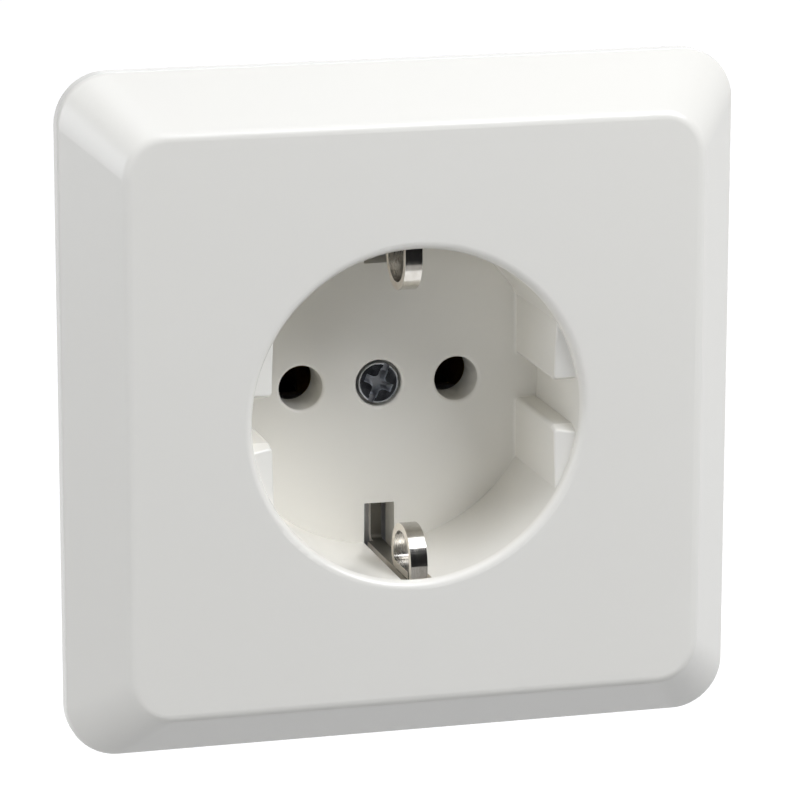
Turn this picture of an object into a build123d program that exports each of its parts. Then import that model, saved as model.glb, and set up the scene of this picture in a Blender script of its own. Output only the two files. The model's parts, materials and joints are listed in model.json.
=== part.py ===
"""Earthed flush wall socket with a one-piece square cover and a screw-terminal insert.

Millimetres. The wall's face is the plane Y = 0, the room is towards -Y and the box in the wall
is towards +Y. +Z is up. The origin is on the wall's face, in the middle of the cover.
A level is a distance from the wall's face: positive in the room, negative inside the wall.
A depth is counted the other way, positive inside the wall.
"""

import os

from build123d import *

# Cover: outline, seen from the front and from the side
plate_size = 80.0
plate_height = 10.0
plate_corner = 6.0
rim_height = 2.0
rim_round = 0.8
bevel_run = 6.1
front_corner = 5.0
front_round = 1.4
shell_wall = 2.2
cover_rib = 1.2
cover_rib_foot = 3.0
cover_rib_count = 8

# Well for the plug
well_radius = 19.5
well_depth = 17.5
well_wall = 1.8
floor_wall = 2.4
lip_round = 1.0

# Guide blocks at the sides of the well
guide_reach = 2.7
guide_setback = 1.3
guide_lead_slope = 0.33
groove_half = 2.65
groove_round = 0.5
groove_lead = 0.65
groove_lead_depth = 2.0
guide_edge = 0.3

# Pin holes and their collars
pin_pitch = 19.0
pin_radius = 2.4
pin_play = 0.25
floor_rim_round = 0.4
collar_wall = 1.6
collar_gap = 0.2

# Centre screw
screw_radius = 1.5
screw_length = 12.5
screw_clearance = 0.2
head_radius = 2.45
head_height = 1.9
head_sunk = 0.2
head_gap = 0.35
head_dome = 0.25
recess_turn = 65.0
slot_cut_width = 0.75
slot_cut_depth = 0.5
cross_length = 3.6
cross_width = 1.0
cross_round = 0.5
cross_depth = 1.1
cross_taper = 20.0
boss_radius = 4.5
boss_reach = 0.9
retainer_wall = 0.6
retainer_radius = 3.2

# Earth bridge: one folded strip
strip_wall = 0.9
prong_width = 2.0
prong_offset = 0.35
prong_notch = 0.7
notch_reach = 1.2
slot_play = 0.5
slot_reach = 4.95
slot_front_wall = 1.0
slot_backing = 0.5
shroud_wall = 1.2
bridge_width = 8.0
bridge_gap = 0.2
leg_setback = 0.5
loop_reach = 5.5
loop_front = 1.1
loop_back = 9.6
loop_round = 3.6
fold_round = 0.9
tail_front = 2.35
tail_round = 1.2
tail_gap = 0.1

# Threaded bush in the bridge
bush_radius = 3.2
bush_neck = 2.4
bush_length = 4.0
bush_gap = 0.2

# Support ring
ring_margin = 2.6
ring_wall = 1.0
ring_corner_cut = 7.0
ring_gap = 1.7
box_screw_spacing = 60.0
box_slot_radius = 2.1
box_slot_length = 5.8
leg_width = 10.0
foot_margin = 2.4
fold_inner = 0.6

# Base moulding
base_height = 40.0
base_corner_cut = 7.0
base_wall = 1.2
base_back_wall = 2.6
base_edge = 0.6
chamber_gap = 0.2
chamber_room = 0.6
screw_end_gap = 1.9
wire_entry_radius = 1.7

# Plate over the chambers
contact_cover_wall = 1.3
contact_cover_gap = 0.15
pin_lead_gap = 0.7
driver_gap = 0.3

# Sleeve contacts
sleeve_wall = 0.6
sleeve_width = 6.4
sleeve_setback = 1.2
sleeve_length = 11.2
waist_run = 2.8
straight_run = 2.7
sleeve_flare = 1.1
sleeve_bite = 0.15
sleeve_play = 0.3
waist_round = 2.0
clip_wall = 0.5
clip_width = 1.4
clip_play = 0.4
clip_opening = 2.4

# Terminals
bar_wall = 1.0
bar_setback = 5.7
bar_margin = 0.8
bar_inner = 2.6
terminal_z = 6.0
terminal_screw_radius = 1.75
terminal_head_radius = 2.8
terminal_head_height = 2.2
terminal_screw_length = 8.4
terminal_slot_width = 0.8
terminal_slot_depth = 1.0
wire_gap = 2.7
clamp_size = 6.0
clamp_wall = 2.0
clamp_round = 0.5
fit_gap = 0.1

# Earth terminal on a folded tab of the bridge
earth_setback = 2.6
earth_edge = 6.5
earth_tab_lap = 1.0
earth_tab_gap = 0.45
earth_tab_height = 5.8
earth_head_gap = 0.85

# Rivets
rivet_z = 9.6
rivet_radius = 1.5
rivet_bore = 0.8
rivet_head_radius = 2.6
rivet_head = 0.8
rivet_recess = 1.2
contact_rivet_radius = 1.0
contact_rivet_head = 1.7
contact_rivet_cap = 0.4

# Levels that follow from the sizes above, from the front to the back
floor_front = plate_height - well_depth
floor_back = floor_front - floor_wall
head_top = floor_front - head_sunk
head_seat = head_top - head_height
boss_back = floor_back - boss_reach
retainer_back = boss_back - retainer_wall
bridge_front = retainer_back - bridge_gap
bridge_back = bridge_front - strip_wall
foot_back = bridge_back - ring_wall
base_front = foot_back
collar_back = base_front + collar_gap
shroud_back = bridge_front + bridge_gap
lid_back = base_front - contact_cover_wall

# Depths behind the wall's face that follow
sleeve_front = sleeve_setback - lid_back
sleeve_waist = sleeve_front + waist_run
sleeve_straight = sleeve_waist + straight_run
sleeve_web = sleeve_front + sleeve_length
sleeve_chamber_floor = sleeve_web + sleeve_wall + bar_wall + contact_rivet_cap + chamber_gap
bar_depth = bar_setback - lid_back
terminal_chamber_floor = bar_depth + terminal_screw_length + chamber_gap
wire_depth = bar_depth + bar_wall + wire_gap / 2
earth_depth = earth_setback - lid_back
earth_pocket_floor = earth_depth + terminal_screw_length + chamber_gap
earth_wire_depth = earth_depth + strip_wall + wire_gap / 2
screw_well_floor = screw_length - head_seat + screw_end_gap
base_depth = sleeve_chamber_floor + base_back_wall
rivet_back = rivet_recess - base_depth

# Sizes across that follow
front_size = plate_size - 2 * bevel_run
hollow_size = plate_size - 2 * shell_wall
hollow_front_size = front_size - 2 * shell_wall
hollow_corner = plate_corner - shell_wall
hollow_front_corner = front_corner - shell_wall
pin_hole_radius = pin_radius + pin_play
tube_radius = well_radius + well_wall
guide_face = well_radius - guide_reach
guide_front = guide_setback - plate_height
strip_half = strip_wall / 2
leg_face = well_radius + leg_setback
leg_radius = leg_face + strip_half
slot_width = prong_width + 2 * (prong_offset + slot_play)
slot_inner = well_radius - slot_reach
slot_radius = leg_face + strip_wall + slot_backing
ring_size = plate_size - 2 * ring_margin
ring_hole_radius = tube_radius + ring_gap
foot_inner = rivet_z - foot_margin
rivet_hole = rivet_radius + fit_gap / 2
bush_bore = bush_radius + bush_gap
sleeve_outer = pin_radius + sleeve_play + sleeve_wall
clip_across = 2 * (pin_radius - sleeve_bite + sleeve_wall + clip_play)
clip_along = sleeve_width + fit_gap
sleeve_chamber_width = 2 * (sleeve_outer + bar_wall + chamber_gap)
sleeve_chamber_height = clip_along + 2 * (clip_wall + chamber_room)
terminal_x = pin_pitch / 2 + sleeve_outer + bar_wall + clamp_size / 2
terminal_hole = terminal_screw_radius + fit_gap
bar_height = 2 * terminal_z + clamp_size
bar_reach = terminal_x + clamp_size / 2 + bar_margin
chamber_inner = terminal_x - clamp_size / 2 - chamber_gap
chamber_outer = bar_reach + chamber_gap
base_width = 2 * (chamber_outer + base_wall)
earth_tab_fold = leg_width / 2 + earth_tab_gap + strip_half
earth_x = earth_tab_fold + strip_half + earth_head_gap + terminal_head_radius
earth_z = earth_edge - base_height / 2
pocket_left = earth_tab_fold - strip_half - chamber_gap
pocket_right = earth_x + clamp_size / 2 + chamber_gap
pocket_middle = (pocket_left + pocket_right) / 2
pocket_width = pocket_right - pocket_left
pocket_height = earth_tab_height + 2 * chamber_gap

# Edges are picked by place and radius to within this
tolerance = 0.01


def level(height):
    """Drawing plane parallel to the wall, looked at from the room: x is X and y is Z."""
    return Plane.XZ.offset(height)


def name_part(builder, label):
    """Give the finished piece its name and write it out."""
    builder.part.label = label
    export_step(builder.part, f"parts/{label}.step")


os.makedirs("parts", exist_ok=True)

# Guide blocks: an upper and a lower one at each side of the well, with a groove between them that
# opens out at the front. They end in a shallow cone that leads the plug in.
with BuildPart() as guide_blocks:
    with BuildSketch(level(floor_front)):
        with GridLocations(tube_radius + guide_face, 0, 2, 1):
            Rectangle(tube_radius - guide_face, 2 * well_radius)
    extrude(amount=well_depth - guide_setback)
    with BuildSketch(Plane.YZ):
        Polygon(
            (guide_front, groove_half + groove_lead),
            (guide_front + groove_lead_depth, groove_half),
            (-floor_front, groove_half),
            (-floor_front, -groove_half),
            (guide_front + groove_lead_depth, -groove_half),
            (guide_front, -groove_half - groove_lead),
            align=None,
        )
    extrude(amount=tube_radius, both=True, mode=Mode.SUBTRACT)
    groove_edges = [
        edge
        for edge in guide_blocks.edges()
        if abs(abs(edge.center().X) - guide_face) < tolerance
        and abs(edge.center().Z) < groove_half + groove_lead
    ]
    fillet(groove_edges, groove_round)
    with BuildSketch(Plane.XY):
        Polygon(
            (0, guide_front),
            (well_radius, guide_front),
            (0, guide_front + guide_lead_slope * well_radius),
            align=None,
        )
    revolve(axis=Axis.Y, mode=Mode.SUBTRACT)
    front_edges = [
        edge
        for edge in guide_blocks.edges()
        if abs(abs(edge.center().X) - guide_face) < tolerance
        and -edge.center().Y > plate_height - guide_setback - guide_lead_slope * well_radius / 2
        and abs(edge.center().Z) > groove_half + groove_lead
    ]
    fillet(front_edges, guide_edge)

# Space that the plug takes up: the round well less the guide blocks.
with BuildPart() as plug_space:
    with BuildSketch(level(floor_front)):
        Circle(well_radius)
    extrude(amount=well_depth)
    add(guide_blocks.part, mode=Mode.SUBTRACT)

# Cover: rim, bevel and flat front, hollow behind, with the well's tube in the middle.
with BuildPart() as cover_plate:
    with BuildSketch(level(0)):
        RectangleRounded(plate_size, plate_size, plate_corner)
    extrude(amount=rim_height)
    with BuildSketch(level(rim_height)):
        RectangleRounded(plate_size, plate_size, plate_corner)
    with BuildSketch(level(plate_height)):
        RectangleRounded(front_size, front_size, front_corner)
    loft(ruled=True)
    fillet(cover_plate.faces().sort_by(Axis.Y)[0].outer_wire().edges(), front_round)
    rim_edges = [
        edge
        for edge in cover_plate.edges()
        if abs(edge.bounding_box().min.Y + rim_height) < tolerance
        and abs(edge.bounding_box().max.Y + rim_height) < tolerance
    ]
    fillet(rim_edges, rim_round)
    with BuildSketch(level(0)):
        RectangleRounded(hollow_size, hollow_size, hollow_corner)
    extrude(amount=rim_height - rim_round, mode=Mode.SUBTRACT)
    with BuildSketch(level(rim_height - rim_round)):
        RectangleRounded(hollow_size, hollow_size, hollow_corner)
    with BuildSketch(level(plate_height - shell_wall)):
        RectangleRounded(hollow_front_size, hollow_front_size, hollow_front_corner)
    loft(ruled=True, mode=Mode.SUBTRACT)
    # Ribs from the tube to the rim stiffen the front.
    rib_reach = plate_size / 2 - shell_wall
    with BuildSketch(level(cover_rib_foot)):
        with PolarLocations(0, cover_rib_count, start_angle=360 / cover_rib_count / 2):
            Rectangle(rib_reach, cover_rib, align=(Align.MIN, Align.CENTER))
    extrude(amount=plate_height - shell_wall - cover_rib_foot)
    with BuildSketch(level(floor_back)):
        Circle(tube_radius)
    extrude(amount=plate_height - lip_round - floor_back)
    with BuildSketch(level(floor_back)):
        with GridLocations(pin_pitch, 0, 2, 1):
            Circle(pin_hole_radius + collar_wall)
    extrude(amount=collar_back - floor_back)
    with BuildSketch(level(floor_back)):
        Circle(boss_radius)
    extrude(amount=-boss_reach)
    # Walls at both sides of each contact slot keep the earth strip's arms in line.
    with BuildSketch(level(floor_back)):
        with PolarLocations(0, 2, start_angle=90):
            with Locations((slot_inner - shroud_wall, 0)):
                Rectangle(
                    tube_radius - slot_inner + shroud_wall / 2,
                    slot_width + 2 * shroud_wall,
                    align=(Align.MIN, Align.CENTER),
                )
    extrude(amount=shroud_back - floor_back)
    add(plug_space.part, mode=Mode.SUBTRACT)
    mouth = [
        edge
        for edge in cover_plate.edges().filter_by(GeomType.CIRCLE)
        if abs(edge.radius - well_radius) < tolerance
        and abs(edge.center().Y + plate_height) < tolerance
    ]
    fillet(mouth, lip_round)
    # Slots that let the earth contacts into the well, through its floor and its wall.
    with BuildSketch(level(plate_height - slot_front_wall)):
        with PolarLocations(0, 2, start_angle=90):
            with Locations((slot_inner, 0)):
                Rectangle(slot_radius - slot_inner, slot_width, align=(Align.MIN, Align.CENTER))
    extrude(amount=shroud_back - (plate_height - slot_front_wall), mode=Mode.SUBTRACT)
    with BuildSketch(level(floor_front)):
        with GridLocations(pin_pitch, 0, 2, 1):
            Circle(pin_hole_radius)
    extrude(amount=collar_back - floor_front, mode=Mode.SUBTRACT)
    with BuildSketch(level(floor_front)):
        Circle(head_radius + head_gap)
    extrude(amount=head_seat - floor_front, mode=Mode.SUBTRACT)
    with BuildSketch(level(head_seat)):
        Circle(screw_radius + screw_clearance)
    extrude(amount=boss_back - head_seat, mode=Mode.SUBTRACT)
    floor_rims = [
        edge
        for edge in cover_plate.edges().filter_by(GeomType.CIRCLE)
        if abs(edge.center().Y + floor_front) < tolerance
        and edge.radius < max(head_radius + head_gap, pin_hole_radius) + tolerance
    ]
    fillet(floor_rims, floor_rim_round)
name_part(cover_plate, "cover_plate")

# Centre screw: head with a full-width slot and a tapered, star-shaped cross.
with BuildPart() as cover_screw:
    with BuildSketch(level(head_seat)):
        Circle(head_radius)
    extrude(amount=head_height)
    fillet(cover_screw.faces().sort_by(Axis.Y)[0].edges(), head_dome)
    with BuildSketch(level(head_seat)):
        Circle(screw_radius)
    extrude(amount=-screw_length)
    chamfer(cover_screw.faces().sort_by(Axis.Y)[-1].edges(), screw_radius / 3)
    with BuildSketch(level(head_top)):
        Rectangle(3 * head_radius, slot_cut_width, rotation=recess_turn)
    extrude(amount=-slot_cut_depth, mode=Mode.SUBTRACT)
    with BuildSketch(level(head_top)) as cross:
        Rectangle(cross_length, cross_width, rotation=recess_turn)
        Rectangle(cross_length, cross_width, rotation=recess_turn + 90)
        fillet(cross.vertices().sort_by_distance((0, 0))[:4], cross_round)
    extrude(amount=-cross_depth, taper=cross_taper, mode=Mode.SUBTRACT)
name_part(cover_screw, "cover_screw")

# Captive washer that grips the screw behind the cover's boss.
with BuildPart() as screw_retainer:
    with BuildSketch(level(boss_back)):
        Circle(retainer_radius)
        Circle(screw_radius + fit_gap / 2, mode=Mode.SUBTRACT)
    extrude(amount=-retainer_wall)
name_part(screw_retainer, "screw_retainer")


def make_prong(side):
    """One arm, leg and loop of the strip: the upper ones for side 1, the lower for side -1.

    The arm runs out behind the well's floor, the leg forward in its slot, and the strip then
    turns into the sprung loop, whose free end lies on the leg. A notch makes the arm narrower.
    """
    middle = bridge_front - strip_half
    front = plate_height - loop_front - strip_half
    back = plate_height - loop_back + strip_half
    tail_radius = leg_face - strip_half - tail_gap
    crown = well_radius - loop_reach + strip_half
    path = [
        (middle, rivet_z),
        (middle, leg_radius),
        (front, leg_radius),
        (front, crown),
        (back, crown),
        (back, tail_radius),
        (plate_height - tail_front, tail_radius),
    ]
    folds = [fold_inner + strip_half, fold_round, loop_round, loop_round, tail_round]
    with BuildPart() as prong:
        with BuildSketch(Plane.YZ.offset(-side * prong_offset)):
            with BuildLine():
                FilletPolyline(*[(-height, side * reach) for height, reach in path], radius=folds)
            trace(line_width=strip_wall)
        extrude(amount=prong_width / 2, both=True)
        notch_edge = side * (prong_width / 2 - prong_offset)
        with BuildSketch(level(bridge_back)):
            with Locations((notch_edge, 0)):
                Rectangle(
                    prong_notch,
                    2 * slot_radius,
                    align=(Align.MAX if side > 0 else Align.MIN, Align.CENTER),
                )
        extrude(amount=strip_wall + notch_reach, mode=Mode.SUBTRACT)
    return prong.part


upper_prong = make_prong(1)
lower_prong = make_prong(-1)

# Earth bridge: the strip's middle, with its two prongs and the tab of the earth terminal, which
# steps back beside the web and then out.
with BuildPart() as earth_bridge:
    with BuildSketch(level(bridge_back)):
        Rectangle(bridge_width, 2 * (rivet_z + rivet_head_radius))
        # A narrow arm beside the lower slot reaches down to the tab.
        with Locations((bridge_width / 2, 0)):
            Rectangle(
                bridge_width / 2 - slot_width / 2 - slot_backing,
                earth_tab_height / 2 - earth_z,
                align=Align.MAX,
            )
    extrude(amount=strip_wall)
    add(upper_prong)
    add(lower_prong)
    with BuildSketch(Plane.XY.offset(earth_z)):
        with BuildLine():
            FilletPolyline(
                (bridge_width / 2 - earth_tab_lap, strip_half - bridge_front),
                (earth_tab_fold, strip_half - bridge_front),
                (earth_tab_fold, earth_depth + strip_half),
                (earth_x + clamp_size / 2, earth_depth + strip_half),
                radius=fold_inner + strip_half,
            )
        trace(line_width=strip_wall)
    extrude(amount=earth_tab_height / 2, both=True)
    with BuildSketch(level(bridge_front)):
        Circle(bush_neck + fit_gap / 2)
        with GridLocations(0, 2 * rivet_z, 1, 2):
            Circle(rivet_hole)
    extrude(amount=-strip_wall, mode=Mode.SUBTRACT)
    with BuildSketch(level(-earth_depth)):
        with Locations((earth_x, earth_z)):
            Circle(terminal_hole)
    extrude(amount=-strip_wall, mode=Mode.SUBTRACT)
name_part(earth_bridge, "earth_bridge")

# Threaded bush: its neck is pressed into the bridge and its body bears on the back.
with BuildPart() as bridge_bush:
    with BuildSketch(level(bridge_front)):
        Circle(bush_neck)
    extrude(amount=-strip_wall)
    with BuildSketch(level(bridge_back)):
        Circle(bush_radius)
    extrude(amount=-bush_length)
    with BuildSketch(level(bridge_front)):
        Circle(screw_radius + fit_gap / 2)
    extrude(amount=-(strip_wall + bush_length), mode=Mode.SUBTRACT)
name_part(bridge_bush, "bridge_bush")

# Support ring: square plate on the wall with slots for the box screws. Two legs are folded back
# from its opening and end in feet under the bridge.
with BuildPart() as support_ring:
    with BuildSketch(level(0)) as ring_outline:
        Rectangle(ring_size, ring_size)
        chamfer(ring_outline.vertices(), ring_corner_cut)
        Circle(ring_hole_radius, mode=Mode.SUBTRACT)
        with GridLocations(box_screw_spacing, 0, 2, 1):
            SlotOverall(box_slot_length, 2 * box_slot_radius, mode=Mode.SUBTRACT)
        with GridLocations(0, box_screw_spacing, 1, 2):
            SlotOverall(box_slot_length, 2 * box_slot_radius, rotation=90, mode=Mode.SUBTRACT)
    extrude(amount=ring_wall)
    leg_middle = ring_hole_radius - ring_wall / 2
    for side in (1, -1):
        with BuildSketch(Plane.YZ):
            with BuildLine():
                FilletPolyline(
                    (-ring_wall / 2, side * (ring_hole_radius + ring_wall)),
                    (-ring_wall / 2, side * leg_middle),
                    (-foot_back - ring_wall / 2, side * leg_middle),
                    (-foot_back - ring_wall / 2, side * foot_inner),
                    radius=fold_inner + ring_wall / 2,
                )
            trace(line_width=ring_wall)
        extrude(amount=leg_width / 2, both=True)
    with BuildSketch(level(foot_back)):
        with GridLocations(0, 2 * rivet_z, 1, 2):
            Circle(rivet_hole)
    extrude(amount=ring_wall, mode=Mode.SUBTRACT)
name_part(support_ring, "support_ring")

# Base: insulating block with a recess for the plate in front, a deep chamber for each sleeve,
# a wider one for each pair of terminals, and a pocket for the earth terminal.
with BuildPart() as base_moulding:
    with BuildSketch(level(base_front)) as base_outline:
        Rectangle(base_width, base_height)
        chamfer(base_outline.vertices(), base_corner_cut)
    extrude(amount=-base_depth - base_front)
    fillet(base_moulding.edges().filter_by(Axis.Y), base_edge)
    chamfer(base_moulding.faces().sort_by(Axis.Y)[-1].outer_wire().edges(), base_edge)
    with BuildSketch(level(base_front)) as lid_recess:
        Rectangle(base_width - 2 * base_wall, base_height - 2 * base_wall)
        chamfer(lid_recess.vertices(), base_corner_cut - base_wall / 2)
    extrude(amount=-contact_cover_wall, mode=Mode.SUBTRACT)
    with BuildSketch(level(lid_back)):
        with GridLocations(pin_pitch, 0, 2, 1):
            Rectangle(sleeve_chamber_width, sleeve_chamber_height)
    extrude(amount=-sleeve_chamber_floor - lid_back, mode=Mode.SUBTRACT)
    with BuildSketch(level(lid_back)):
        with GridLocations(chamber_inner + chamber_outer, 0, 2, 1):
            Rectangle(chamber_outer - chamber_inner, bar_height + 2 * chamber_gap)
    extrude(amount=-terminal_chamber_floor - lid_back, mode=Mode.SUBTRACT)
    with BuildSketch(level(base_front)):
        with Locations((pocket_middle, earth_z)):
            Rectangle(pocket_width, pocket_height)
    extrude(amount=-earth_pocket_floor - base_front, mode=Mode.SUBTRACT)
    with BuildSketch(level(base_front)):
        Circle(bush_bore)
    extrude(amount=-screw_well_floor - base_front, mode=Mode.SUBTRACT)
    with BuildSketch(level(base_front)):
        with GridLocations(0, 2 * rivet_z, 1, 2):
            Circle(rivet_hole)
    extrude(amount=-base_depth - base_front, mode=Mode.SUBTRACT)
    with BuildSketch(level(rivet_back)):
        with GridLocations(0, 2 * rivet_z, 1, 2):
            Circle(rivet_head_radius + chamber_gap)
    extrude(amount=-base_depth - rivet_back, mode=Mode.SUBTRACT)
    # Wire entries: two at each side and one below.
    for side_start in (-base_width / 2, chamber_inner):
        with BuildSketch(Plane.YZ.offset(side_start)):
            with Locations((wire_depth, terminal_z), (wire_depth, -terminal_z)):
                Circle(wire_entry_radius)
        extrude(amount=base_width / 2 - chamber_inner, mode=Mode.SUBTRACT)
    with BuildSketch(Plane.XY.offset(-base_height / 2)):
        with Locations((earth_x, earth_wire_depth)):
            Circle(wire_entry_radius)
    extrude(amount=base_height / 2 + earth_z, mode=Mode.SUBTRACT)
name_part(base_moulding, "base_moulding")

# Plate over the chambers, let into the base, with holes for the pins, rivets, bush and driver.
with BuildPart() as contact_cover:
    with BuildSketch(level(base_front)) as lid_outline:
        lid_wall = base_wall + contact_cover_gap
        Rectangle(base_width - 2 * lid_wall, base_height - 2 * lid_wall)
        chamfer(lid_outline.vertices(), base_corner_cut - base_wall / 2)
        with GridLocations(pin_pitch, 0, 2, 1):
            Circle(pin_hole_radius + pin_lead_gap, mode=Mode.SUBTRACT)
        with GridLocations(2 * terminal_x, 2 * terminal_z, 2, 2):
            Circle(terminal_head_radius + driver_gap, mode=Mode.SUBTRACT)
        with Locations((pocket_middle, earth_z)):
            Rectangle(pocket_width, pocket_height, mode=Mode.SUBTRACT)
        Circle(bush_bore, mode=Mode.SUBTRACT)
        with GridLocations(0, 2 * rivet_z, 1, 2):
            Circle(rivet_hole, mode=Mode.SUBTRACT)
    extrude(amount=-contact_cover_wall)
name_part(contact_cover, "contact_cover")

# Tubular rivets through bridge, feet, plate and base.
with BuildPart() as bridge_rivets:
    with BuildSketch(level(bridge_front)):
        with GridLocations(0, 2 * rivet_z, 1, 2):
            Circle(rivet_head_radius)
    extrude(amount=rivet_head)
    with BuildSketch(level(bridge_front)):
        with GridLocations(0, 2 * rivet_z, 1, 2):
            Circle(rivet_radius)
    extrude(amount=rivet_back - bridge_front)
    with BuildSketch(level(rivet_back)):
        with GridLocations(0, 2 * rivet_z, 1, 2):
            Circle(rivet_head_radius)
    extrude(amount=-rivet_head)
    with BuildSketch(level(bridge_front + rivet_head)):
        with GridLocations(0, 2 * rivet_z, 1, 2):
            Circle(rivet_bore)
    extrude(amount=rivet_back - bridge_front - 2 * rivet_head, mode=Mode.SUBTRACT)
name_part(bridge_rivets, "bridge_rivets")


def make_sleeve(axis_x, label):
    """Strip folded into two bowed leaves that grip the pin, joined by a web behind its tip."""
    half = sleeve_wall / 2
    waist = pin_radius - sleeve_bite + half
    straight = pin_radius + sleeve_play + half
    leaf = [
        (waist + sleeve_flare, sleeve_front),
        (waist, sleeve_waist),
        (straight, sleeve_straight),
        (straight, sleeve_web + half),
    ]
    other_leaf = [(-reach, depth) for reach, depth in reversed(leaf)]
    folds = [waist_round, 2 * waist_round, sleeve_wall + half]
    with BuildPart() as sleeve:
        with BuildSketch(Plane.XY):
            with BuildLine():
                FilletPolyline(
                    *[(axis_x + reach, depth) for reach, depth in leaf + other_leaf],
                    radius=folds + folds[::-1],
                )
            trace(line_width=sleeve_wall)
        extrude(amount=sleeve_width / 2, both=True)
        with BuildSketch(level(-sleeve_web)):
            with Locations((axis_x, 0)):
                Circle(contact_rivet_radius + fit_gap / 2)
        extrude(amount=-sleeve_wall, mode=Mode.SUBTRACT)
    name_part(sleeve, label)


def make_clip(axis_x, label):
    """Open steel clip round the waist of a sleeve."""
    with BuildPart() as clip:
        with BuildSketch(level(-sleeve_waist - clip_width / 2)):
            with Locations((axis_x, 0)):
                RectangleRounded(clip_across + 2 * clip_wall, clip_along + 2 * clip_wall, 2 * clip_wall)
                RectangleRounded(clip_across, clip_along, clip_wall, mode=Mode.SUBTRACT)
            with Locations((axis_x, clip_along / 2 + clip_wall)):
                Rectangle(clip_opening, 3 * clip_wall, mode=Mode.SUBTRACT)
        extrude(amount=clip_width)
    name_part(clip, label)


def make_bar(side, label):
    """Brass bar from behind a sleeve's web, forward beside it and out under two terminal screws."""
    axis_x = side * pin_pitch / 2
    beside = axis_x + side * (sleeve_outer + bar_wall / 2)
    behind = sleeve_web + sleeve_wall + bar_wall / 2
    with BuildPart() as bar:
        with BuildSketch(Plane.XY):
            with BuildLine():
                FilletPolyline(
                    (axis_x - side * bar_inner, behind),
                    (beside, behind),
                    (beside, bar_depth + bar_wall / 2),
                    (side * bar_reach, bar_depth + bar_wall / 2),
                    radius=bar_wall,
                )
            trace(line_width=bar_wall)
        extrude(amount=bar_height / 2, both=True)
        # Only the flange under the two screws is wider than the sleeve.
        neck = axis_x - side * bar_inner
        flange = side * (terminal_x - clamp_size / 2)
        with BuildSketch(level(-bar_depth)):
            with GridLocations(0, bar_height + sleeve_width, 1, 2):
                with Locations(((neck + flange) / 2, 0)):
                    Rectangle(abs(flange - neck), bar_height)
        extrude(amount=bar_depth - behind - bar_wall, mode=Mode.SUBTRACT)
        with BuildSketch(level(-bar_depth)):
            with Locations((side * terminal_x, terminal_z), (side * terminal_x, -terminal_z)):
                Circle(terminal_hole)
        extrude(amount=-bar_wall, mode=Mode.SUBTRACT)
        with BuildSketch(level(-sleeve_web - sleeve_wall)):
            with Locations((axis_x, 0)):
                Circle(contact_rivet_radius + fit_gap / 2)
        extrude(amount=-bar_wall, mode=Mode.SUBTRACT)
    name_part(bar, label)


def make_clamp(centre_x, centre_z, seat, label):
    """Square clamp plate that the terminal screw draws towards the bar or tab above it."""
    with BuildPart() as clamp:
        with BuildSketch(level(-seat - wire_gap)):
            with Locations((centre_x, centre_z)):
                RectangleRounded(clamp_size, clamp_size - 2 * fit_gap, clamp_round)
                Circle(terminal_screw_radius + fit_gap / 2, mode=Mode.SUBTRACT)
        extrude(amount=-clamp_wall)
    name_part(clamp, label)


for side, pole in ((-1, "line"), (1, "neutral")):
    make_sleeve(side * pin_pitch / 2, f"{pole}_contact")
    make_clip(side * pin_pitch / 2, f"{pole}_spring_clip")
    make_bar(side, f"{pole}_terminal_bar")
    make_clamp(side * terminal_x, terminal_z, bar_depth + bar_wall, f"{pole}_clamp_upper")
    make_clamp(side * terminal_x, -terminal_z, bar_depth + bar_wall, f"{pole}_clamp_lower")
make_clamp(earth_x, earth_z, earth_depth + strip_wall, "earth_clamp")

# Rivets that join each sleeve's web to its bar.
with BuildPart() as contact_rivets:
    rivet_end = sleeve_web + sleeve_wall + bar_wall
    with BuildSketch(level(-rivet_end - contact_rivet_cap)):
        with GridLocations(pin_pitch, 0, 2, 1):
            Circle(contact_rivet_head)
    extrude(amount=contact_rivet_cap)
    with BuildSketch(level(-rivet_end)):
        with GridLocations(pin_pitch, 0, 2, 1):
            Circle(contact_rivet_radius)
    extrude(amount=rivet_end - sleeve_web)
    with BuildSketch(level(-sleeve_web)):
        with GridLocations(pin_pitch, 0, 2, 1):
            Circle(contact_rivet_head)
    extrude(amount=contact_rivet_cap)
name_part(contact_rivets, "contact_rivets")

# Five identical terminal screws: four at the poles and one at the earth tab.
screw_places = [
    (side * terminal_x, height, bar_depth) for side in (-1, 1) for height in (terminal_z, -terminal_z)
]
screw_places.append((earth_x, earth_z, earth_depth))
with BuildPart() as terminal_screws:
    for centre_x, centre_z, seat in screw_places:
        with BuildSketch(level(-seat)):
            with Locations((centre_x, centre_z)):
                Circle(terminal_head_radius)
        extrude(amount=terminal_head_height)
        with BuildSketch(level(-seat)):
            with Locations((centre_x, centre_z)):
                Circle(terminal_screw_radius)
        extrude(amount=-terminal_screw_length)
        with BuildSketch(level(-seat + terminal_head_height)):
            with Locations((centre_x, centre_z)):
                Rectangle(3 * terminal_head_radius, terminal_slot_width, rotation=recess_turn)
        extrude(amount=-terminal_slot_depth, mode=Mode.SUBTRACT)
name_part(terminal_screws, "terminal_screws")
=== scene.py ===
"""Looks of the wall socket: materials, lights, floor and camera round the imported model.

Metres, in the model's own frame: the wall's face is Y = 0, the room is towards -Y and +Z is up.
"""

import json
import math

import bpy
from mathutils import Matrix, Vector


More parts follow.
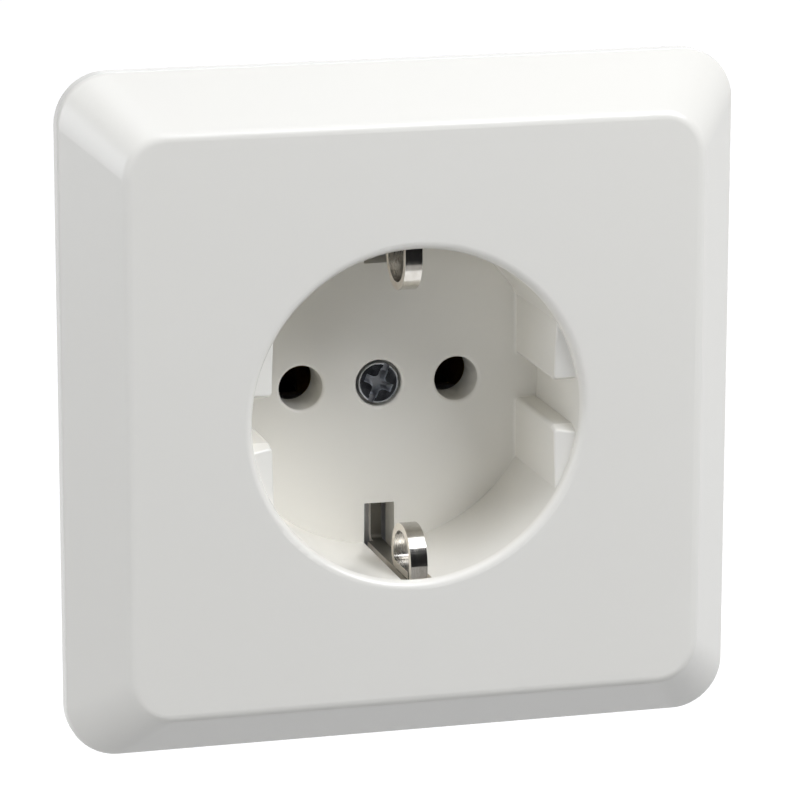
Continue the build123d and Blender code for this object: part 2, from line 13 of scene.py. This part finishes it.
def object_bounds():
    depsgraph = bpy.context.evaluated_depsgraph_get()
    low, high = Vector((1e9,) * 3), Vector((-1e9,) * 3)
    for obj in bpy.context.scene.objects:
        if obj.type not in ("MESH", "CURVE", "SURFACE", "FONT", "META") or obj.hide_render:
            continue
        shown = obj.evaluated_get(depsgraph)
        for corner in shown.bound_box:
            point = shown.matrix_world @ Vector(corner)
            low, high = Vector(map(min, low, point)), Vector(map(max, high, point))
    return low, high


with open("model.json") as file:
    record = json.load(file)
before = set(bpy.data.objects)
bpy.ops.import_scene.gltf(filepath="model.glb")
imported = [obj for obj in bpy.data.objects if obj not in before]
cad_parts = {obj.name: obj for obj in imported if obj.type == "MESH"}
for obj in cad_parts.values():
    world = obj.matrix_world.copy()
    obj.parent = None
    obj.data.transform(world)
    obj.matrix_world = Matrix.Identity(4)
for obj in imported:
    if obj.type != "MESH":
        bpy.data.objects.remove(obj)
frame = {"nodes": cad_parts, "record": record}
cad_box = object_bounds()

MM = 0.001

# Camera at the photograph's viewing angle
AIM = Vector((-2.3, -10.0, 2.2)) * MM
CAMERA_DISTANCE = 503.7 * MM
CAMERA_AZIMUTH = math.radians(-15.49)
CAMERA_ELEVATION = math.radians(13.53)
CAMERA_ROLL = math.radians(0.08)
CAMERA_LENS = 198.6
CAMERA_CLIP_START = 0.01
SENSOR_WIDTH = 36.0

# Floor and backdrop
FLOOR_DROP = 90 * MM
FLOOR_HALF = 1.6
FLOOR_COLOURS = ((0.34, 0.34, 0.34), (0.32, 0.32, 0.32))
FLOOR_NOISE = 9.0
FLOOR_ROUGHNESS = 0.9
FLOOR_GLOW = 0.88
BACKDROP_RADIUS = 0.5
BACKDROP_STEPS = 16

# Card that gloss and bare metal mirror
FLAG_RADIUS = 0.19
FLAG_AZIMUTH = (math.radians(-72), math.radians(31))
FLAG_ELEVATION = (math.radians(-38), math.radians(40))
FLAG_ROWS = 12
FLAG_COLUMNS = 14
FLAG_BLACK = (0.01, 0.01, 0.011)
FLAG_GREY = (1.0, 0.99, 0.97)
FLAG_GREY_STRENGTH = 0.48
FLAG_GREY_BELOW = -57 * MM
FLAG_BLEND = 5 * MM

# Light: each softbox has a place, a width, a height and a power in watts
WHITE = (1.0, 1.0, 1.0)
WORLD_STRENGTH = 0.02
LAMP_COLOUR = (0.925, 0.948, 1.0)
LAMP_TARGET = Vector((0.0, -10 * MM, 0.0))
SOFTBOXES = {
    "key_softbox": ((0.345, -0.395, 0.52), 0.47, 0.38, 4.80),
    "top_softbox": ((0.0, -0.11, 0.59), 0.52, 0.3, 0.66),
    "left_softbox": ((-1.07, -0.16, 0.08), 0.6, 0.9, 6.2),
    "front_softbox": ((-0.15, -0.90, 0.25), 0.6, 0.6, 0.60),
    "fill_softbox": ((-0.75, -0.65, -0.10), 0.4, 0.4, 1.80),
    "rear_softbox": ((0.45, 1.05, 0.75), 0.8, 0.8, 3.0),
}

# Noise values are mapped from one of these spans
NARROW = (0.35, 0.65)
WIDE = (0.1, 0.9)
BUMP_HEIGHT = 0.01 * MM

# Plastics: colour, shade, roughness, grain scale, grain strength and specular level
PLASTIC_IOR = 1.49
PLASTIC_FLOW = 28.0
PLASTIC_GLOSS = 120.0
DARK_GRAIN = (2200.0, 0.35, 0.25)
PLASTICS = {
    "cover_white": ((0.91, 0.887, 0.82), (0.902, 0.878, 0.81), (0.23, 0.27), 700.0, 0.08, 0.5),
    # base_dark and lid_grey are dark parts, darkened further to near black as painted shade so the
    # pin holes read black inside
    "base_dark": ((0.014, 0.014, 0.015), (0.010, 0.010, 0.011), (0.45, 0.60), *DARK_GRAIN),
    "lid_grey": ((0.016, 0.016, 0.017), (0.012, 0.012, 0.013), (0.45, 0.60), *DARK_GRAIN),
}

# Metals: colour, shade, roughness and the scale of the streaks by axis
METAL_CLOUD = 220.0
METAL_LINES = 900.0
METAL_BUMP = 0.12
ALONG_X = (0.3, 1.0, 1.0)
ALONG_Y = (1.0, 0.3, 1.0)
NO_STREAK = (1.0, 1.0, 1.0)
METALS = {
    "ring_steel": ((0.60, 0.61, 0.62), (0.48, 0.49, 0.51), (0.28, 0.42), ALONG_X),
    # contact_brass is brass, darkened below its plain colour as painted shade so it reads dark
    # inside the pin holes
    "contact_brass": ((0.56, 0.41, 0.17), (0.42, 0.30, 0.12), (0.28, 0.42), ALONG_Y),
    "clip_steel": ((0.46, 0.46, 0.47), (0.36, 0.36, 0.38), (0.28, 0.42), ALONG_Y),
    "clamp_steel": ((0.62, 0.61, 0.58), (0.50, 0.49, 0.46), (0.26, 0.40), NO_STREAK),
}

# Earth strip: bright outside, with painted shade that darkens it from the well into the slots,
# where it is also duller
STRIP_BRIGHT = ((0.70, 0.68, 0.64), (0.56, 0.53, 0.48))
STRIP_CUT = ((0.93, 0.88, 0.80), (0.84, 0.77, 0.67))
# Painted shade colour of the strip's faces deep in the slots
STRIP_PAINTED_SHADE = (0.27, 0.26, 0.235)
STRIP_SHADE_DEPTHS = (-7.0 * MM, 8.5 * MM)
STRIP_CUT_NORMAL = (0.85, 0.95)
STRIP_CLOUD = 420.0
STRIP_STREAK = (6.0, 0.6, 0.6)
STRIP_GLOSS = (0.10, 0.20)
STRIP_DEEP_GLOSS = 0.50
STRIP_CUT_GLOSS = (0.38, 0.55)
STRIP_CUT_METALLIC = 0.5
STRIP_BUMP = 0.2

# Cover screw: the recess is struck into its dark face; its walls get a painted highlight at the
# edge that fades to dimmer painted light deeper in
SCREW_FACE = 7.7 * MM
SCREW_HIGHLIGHT_DEPTHS = (SCREW_FACE + 0.02 * MM, SCREW_FACE + 0.10 * MM)
SCREW_HIGHLIGHT_FADE = (SCREW_FACE + 0.15 * MM, SCREW_FACE + 0.40 * MM)
SCREW_PLAIN = ((0.34, 0.355, 0.38), (0.22, 0.235, 0.26))
SCREW_PAINTED_HIGHLIGHT = ((0.88, 0.90, 0.94), (0.46, 0.475, 0.50))
SCREW_GLOSS = (0.10, 0.20)
SCREW_RECESS_GLOSS = 0.30


def make_material(name):
    """Empty node material with its Principled shader."""
    material = bpy.data.materials.new(name)
    material.use_nodes = True
    return material, material.node_tree, material.node_tree.nodes["Principled BSDF"]


def set_input(tree, socket, value):
    """Give a socket a number, an RGB triple or another node's output."""
    if isinstance(value, bpy.types.NodeSocket):
        tree.links.new(value, socket)
    elif isinstance(value, tuple):
        socket.default_value = (*value, 1.0)
    else:
        socket.default_value = value


def object_coordinates(tree):
    return tree.nodes.new("ShaderNodeTexCoord").outputs["Object"]


def split_axes(tree, vector):
    """Outputs X, Y and Z of a vector."""
    split = tree.nodes.new("ShaderNodeSeparateXYZ")
    tree.links.new(vector, split.inputs["Vector"])
    return split.outputs


def stretch(tree, vector, scale):
    """Coordinates scaled by axis, for grain that runs one way."""
    mapping = tree.nodes.new("ShaderNodeMapping")
    mapping.inputs["Scale"].default_value = scale
    tree.links.new(vector, mapping.inputs["Vector"])
    return mapping.outputs["Vector"]


def add_noise(tree, vector, scale, detail, roughness=0.5):
    noise = tree.nodes.new("ShaderNodeTexNoise")
    noise.inputs["Scale"].default_value = scale
    noise.inputs["Detail"].default_value = detail
    noise.inputs["Roughness"].default_value = roughness
    tree.links.new(vector, noise.inputs["Vector"])
    return noise.outputs["Fac"]


def add_math(tree, operation, *terms):
    node = tree.nodes.new("ShaderNodeMath")
    node.operation = operation
    for socket, term in zip(node.inputs, terms):
        set_input(tree, socket, term)
    return node.outputs["Value"]


def add_range(tree, value, source, low=0.0, high=1.0):
    """Value mapped from the source span to low..high."""
    mapped = tree.nodes.new("ShaderNodeMapRange")
    mapped.inputs["From Min"].default_value = source[0]
    mapped.inputs["From Max"].default_value = source[1]
    mapped.inputs["To Min"].default_value = low
    mapped.inputs["To Max"].default_value = high
    tree.links.new(value, mapped.inputs["Value"])
    return mapped.outputs["Result"]


def add_mix(tree, data_type, kind, value, first, second):
    """Mix node, whose sockets are found by identifier because their names repeat."""
    mix = tree.nodes.new("ShaderNodeMix")
    mix.data_type = data_type
    inputs = {socket.identifier: socket for socket in mix.inputs}
    outputs = {socket.identifier: socket for socket in mix.outputs}
    set_input(tree, inputs["Factor_Float"], value)
    set_input(tree, inputs["A_" + kind], first)
    set_input(tree, inputs["B_" + kind], second)
    return outputs["Result_" + kind]


def mix_colours(tree, value, first, second):
    """Colour that goes from first to second with value."""
    return add_mix(tree, "RGBA", "Color", value, first, second)


def mix_values(tree, value, first, second):
    """Number that goes from first to second with value."""
    return add_mix(tree, "FLOAT", "Float", value, first, second)


def add_bump(tree, shader, height, strength):
    bump = tree.nodes.new("ShaderNodeBump")
    bump.inputs["Strength"].default_value = strength
    bump.inputs["Distance"].default_value = BUMP_HEIGHT
    tree.links.new(height, bump.inputs["Height"])
    tree.links.new(bump.outputs["Normal"], shader.inputs["Normal"])


def moulded_plastic(name, colour, shade, roughness, grain_scale, grain_strength, specular):
    """Moulded plastic: faint flow mottling, a little uneven gloss and a fine surface ripple."""
    material, tree, shader = make_material(name)
    place = object_coordinates(tree)
    flow = add_range(tree, add_noise(tree, place, PLASTIC_FLOW, 1.0), WIDE)
    tree.links.new(mix_colours(tree, flow, colour, shade), shader.inputs["Base Color"])
    gloss = add_noise(tree, place, PLASTIC_GLOSS, 2.0)
    tree.links.new(add_range(tree, gloss, WIDE, *roughness), shader.inputs["Roughness"])
    add_bump(tree, shader, add_noise(tree, place, grain_scale, 2.0), grain_strength)
    shader.inputs["IOR"].default_value = PLASTIC_IOR
    shader.inputs["Specular IOR Level"].default_value = specular
    return material


def sheet_metal(name, colour, shade, roughness, streak):
    """Metal with cloudy colour, uneven gloss and fine scratches that the streak stretches."""
    material, tree, shader = make_material(name)
    place = object_coordinates(tree)
    cloud = add_range(tree, add_noise(tree, place, METAL_CLOUD, 4.0, 0.6), NARROW)
    tree.links.new(mix_colours(tree, cloud, colour, shade), shader.inputs["Base Color"])
    lines = add_noise(tree, stretch(tree, place, streak), METAL_LINES, 4.0, 0.65)
    tree.links.new(add_range(tree, lines, NARROW, *roughness), shader.inputs["Roughness"])
    add_bump(tree, shader, lines, METAL_BUMP)
    shader.inputs["Metallic"].default_value = 1.0
    return material


def plated_strip(name):
    """Nickel-plated strip, bright on its rolled faces and paler and duller on its cut edges;
    painted shade darkens its faces, which also turn duller, from the well into the slots.
    """
    material, tree, shader = make_material(name)
    coordinates = tree.nodes.new("ShaderNodeTexCoord")
    place = coordinates.outputs["Object"]
    side = add_math(tree, "ABSOLUTE", split_axes(tree, coordinates.outputs["Normal"])["X"])
    edge = add_range(tree, side, STRIP_CUT_NORMAL)
    # Painted shade: the strip's faces darken with depth from the well into the slots
    painted_shade_mask = add_range(tree, split_axes(tree, place)["Y"], STRIP_SHADE_DEPTHS)
    cloud = add_range(tree, add_noise(tree, place, STRIP_CLOUD, 5.0, 0.65), NARROW)
    face = mix_colours(tree, painted_shade_mask, mix_colours(tree, cloud, *STRIP_BRIGHT), STRIP_PAINTED_SHADE)
    cut = mix_colours(tree, cloud, *STRIP_CUT)
    tree.links.new(mix_colours(tree, edge, face, cut), shader.inputs["Base Color"])
    lines = add_noise(tree, stretch(tree, place, STRIP_STREAK), METAL_LINES, 4.0, 0.6)
    gloss = mix_values(tree, painted_shade_mask, add_range(tree, lines, NARROW, *STRIP_GLOSS), STRIP_DEEP_GLOSS)
    dull = add_range(tree, lines, NARROW, *STRIP_CUT_GLOSS)
    tree.links.new(mix_values(tree, edge, gloss, dull), shader.inputs["Roughness"])
    add_bump(tree, shader, lines, STRIP_BUMP)
    metallic = add_range(tree, edge, (0.0, 1.0), 1.0, STRIP_CUT_METALLIC)
    tree.links.new(metallic, shader.inputs["Metallic"])
    return material


def screw_metal(name):
    """Dark blank face; where the driver recess and the slot are struck into it, a painted highlight
    at their edges fades to dimmer painted light deeper in.
    """
    material = sheet_metal(name, *SCREW_PLAIN, SCREW_GLOSS, NO_STREAK)
    tree = material.node_tree
    shader = tree.nodes["Principled BSDF"]
    depth = split_axes(tree, object_coordinates(tree))["Y"]
    # Painted highlight at the edges of the recess and the slot, fading to dimmer painted light
    # deeper in
    highlight_mask = add_range(tree, depth, SCREW_HIGHLIGHT_DEPTHS)
    painted_highlight = mix_colours(tree, add_range(tree, depth, SCREW_HIGHLIGHT_FADE), *SCREW_PAINTED_HIGHLIGHT)
    plain = shader.inputs["Base Color"].links[0].from_socket
    tree.links.new(mix_colours(tree, highlight_mask, plain, painted_highlight), shader.inputs["Base Color"])
    smooth = shader.inputs["Roughness"].links[0].from_socket
    tree.links.new(mix_values(tree, highlight_mask, smooth, SCREW_RECESS_GLOSS), shader.inputs["Roughness"])
    return material


def dress_nodes():
    """Give every node of the model its finish."""
    finishes = {name: moulded_plastic(name, *row) for name, row in PLASTICS.items()}
    finishes["earth_strip"] = plated_strip("earth_strip")
    finishes["screw_zinc"] = screw_metal("screw_zinc")
    for name, row in METALS.items():
        finishes[name] = sheet_metal(name, *row)
    for row in frame["record"]["subparts"]:
        node = frame["nodes"][row["node"]]
        node.data.materials.clear()
        node.data.materials.append(finishes[row["material_slot"]])


def seen_directly(tree):
    """1 for camera, glossy and transmission rays."""
    path = tree.nodes.new("ShaderNodeLightPath")
    total = path.outputs["Is Camera Ray"]
    for name in ("Is Glossy Ray", "Is Transmission Ray"):
        total = add_math(tree, "MAXIMUM", total, path.outputs[name])
    return total


def link_object(name, data):
    made = bpy.data.objects.new(name, data)
    bpy.context.scene.collection.objects.link(made)
    return made


def direction(azimuth, elevation):
    """Unit vector from the model: azimuth 0 is the room's side (-Y) and grows towards +X."""
    return Vector((
        math.cos(elevation) * math.sin(azimuth),
        -math.cos(elevation) * math.cos(azimuth),
        math.sin(elevation),
    ))


def grid_faces(rows, columns):
    """Faces of a grid whose corners are listed row by row."""
    faces = []
    for row in range(rows):
        for column in range(columns):
            low = row * (columns + 1) + column
            high = low + columns + 1
            faces.append((low, low + 1, high + 1, high))
    return faces


def add_surface(name, corners, faces, material):
    mesh = bpy.data.meshes.new(name)
    mesh.from_pydata(corners, [], faces)
    mesh.materials.append(material)
    return link_object(name, mesh)


def floor_paper():
    """Pale paper that catches the shadow and is white where it is seen directly."""
    material, tree, shader = make_material("floor_paper")
    tone = add_range(tree, add_noise(tree, object_coordinates(tree), FLOOR_NOISE, 2.0), NARROW)
    tree.links.new(mix_colours(tree, tone, *FLOOR_COLOURS), shader.inputs["Base Color"])
    shader.inputs["Roughness"].default_value = FLOOR_ROUGHNESS
    glow = tree.nodes.new("ShaderNodeEmission")
    set_input(tree, glow.inputs["Color"], WHITE)
    strength = add_math(tree, "MULTIPLY", seen_directly(tree), FLOOR_GLOW)
    tree.links.new(strength, glow.inputs["Strength"])
    both = tree.nodes.new("ShaderNodeAddShader")
    tree.links.new(shader.outputs["BSDF"], both.inputs[0])
    tree.links.new(glow.outputs["Emission"], both.inputs[1])
    tree.links.new(both.outputs["Shader"], tree.nodes["Material Output"].inputs["Surface"])
    return material


def add_backdrop():
    """Pale floor that curves up into a backdrop behind the socket."""
    floor_z = cad_box[0][2] - FLOOR_DROP
    profile = [(-FLOOR_HALF, floor_z)]
    for step in range(BACKDROP_STEPS + 1):
        turn = math.pi / 2 * step / BACKDROP_STEPS
        profile.append((
            FLOOR_HALF - BACKDROP_RADIUS + BACKDROP_RADIUS * math.sin(turn),
            floor_z + BACKDROP_RADIUS * (1 - math.cos(turn)),
        ))
    profile.append((FLOOR_HALF, floor_z + 2 * FLOOR_HALF))
    corners = [(x, y, z) for x in (-FLOOR_HALF, FLOOR_HALF) for y, z in profile]
    floor = add_surface("floor", corners, grid_faces(1, len(profile) - 1), floor_paper())
    for face in floor.data.polygons:
        face.use_smooth = True


def set_world():
    """Faint light from all round, and white where the camera or a reflection sees it."""
    world = bpy.data.worlds.new("studio")
    bpy.context.scene.world = world
    world.use_nodes = True
    tree = world.node_tree
    background = tree.nodes["Background"]
    set_input(tree, background.inputs["Color"], WHITE)
    strength = add_range(tree, seen_directly(tree), (0.0, 1.0), WORLD_STRENGTH, 1.0)
    tree.links.new(strength, background.inputs["Strength"])


def add_softbox(name, place, width, height, watts):
    lamp = bpy.data.lights.new(name, "AREA")
    lamp.shape = "RECTANGLE"
    lamp.size = width
    lamp.size_y = height
    lamp.energy = watts
    lamp.color = LAMP_COLOUR
    made = link_object(name, lamp)
    made.location = place
    made.rotation_euler = (LAMP_TARGET - Vector(place)).to_track_quat("-Z", "Y").to_euler()
    made.visible_camera = False


def flag_card():
    """Black card whose lower part is grey."""
    material, tree, shader = make_material("flag_card")
    set_input(tree, shader.inputs["Base Color"], FLAG_BLACK)
    shader.inputs["Roughness"].default_value = 1.0
    set_input(tree, shader.inputs["Emission Color"], FLAG_GREY)
    height = split_axes(tree, object_coordinates(tree))["Z"]
    blend = (FLAG_GREY_BELOW - FLAG_BLEND, FLAG_GREY_BELOW)
    grey = add_range(tree, height, blend, FLAG_GREY_STRENGTH, 0.0)
    tree.links.new(grey, shader.inputs["Emission Strength"])
    return material


def between(ends, step, steps):
    return ends[0] + (ends[1] - ends[0]) * step / steps


def add_flag():
    """Curved card in front of the socket, which only gloss and bare metal show."""
    corners = []
    for row in range(FLAG_ROWS + 1):
        rise = between(FLAG_ELEVATION, row, FLAG_ROWS)
        for column in range(FLAG_COLUMNS + 1):
            turn = between(FLAG_AZIMUTH, column, FLAG_COLUMNS)
            corners.append(FLAG_RADIUS * direction(turn, rise))
    flag = add_surface("flag", corners, grid_faces(FLAG_ROWS, FLAG_COLUMNS), flag_card())
    flag.visible_camera = False
    flag.visible_diffuse = False
    flag.visible_shadow = False


def add_camera():
    camera = bpy.data.cameras.new("camera")
    camera.lens = CAMERA_LENS
    camera.sensor_width = SENSOR_WIDTH
    camera.clip_start = CAMERA_CLIP_START
    made = link_object("camera", camera)
    towards = direction(CAMERA_AZIMUTH, CAMERA_ELEVATION)
    turn = towards.to_track_quat("Z", "Y").to_matrix() @ Matrix.Rotation(CAMERA_ROLL, 3, "Z")
    made.matrix_world = Matrix.Translation(AIM + CAMERA_DISTANCE * towards) @ turn.to_4x4()
    bpy.context.scene.camera = made


bpy.context.scene.view_settings.view_transform = "Standard"
dress_nodes()
add_backdrop()
set_world()
for name, row in SOFTBOXES.items():
    add_softbox(name, *row)
add_flag()
add_camera()
